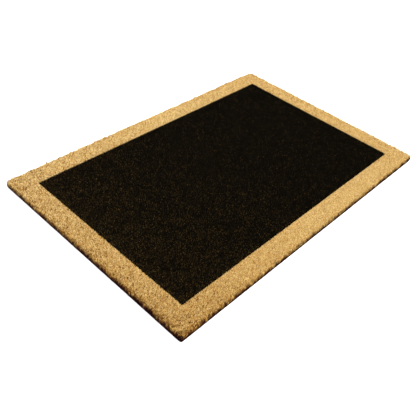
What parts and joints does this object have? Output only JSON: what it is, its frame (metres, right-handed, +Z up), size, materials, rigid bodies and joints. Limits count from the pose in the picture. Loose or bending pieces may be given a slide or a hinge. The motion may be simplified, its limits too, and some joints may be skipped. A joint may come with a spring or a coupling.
{
  "type": "door mat",
  "caption": "Rectangular coir door mat with a natural border round a black centre rectangle, the upright sheared pile set in a flexible PVC backing sheet.",
  "frame": {"origin": "on the floor, under the middle of the mat: the centre of the backing sheet's underside", "axes": "+X along the mat's long side, +Y along its short side, +Z up, out of the pile"},
  "size_m": [0.9, 0.6, 0.017],
  "materials": {
    "pvc_backing": "matt black flexible PVC with a faint moulded weave on its underside and cut edges",
    "natural_coir": "straw-gold chopped coir fibre standing on end, sheared level, with brown fibres among it",
    "black_coir": "black-coloured chopped coir fibre standing on end, with brown fibres showing through"
  },
  "bodies": {
    "root": {"pvc_backing_sheet": "pvc_backing", "coir_border_pile": "natural_coir", "coir_centre_pile": "black_coir"}
  },
  "joints": []
}
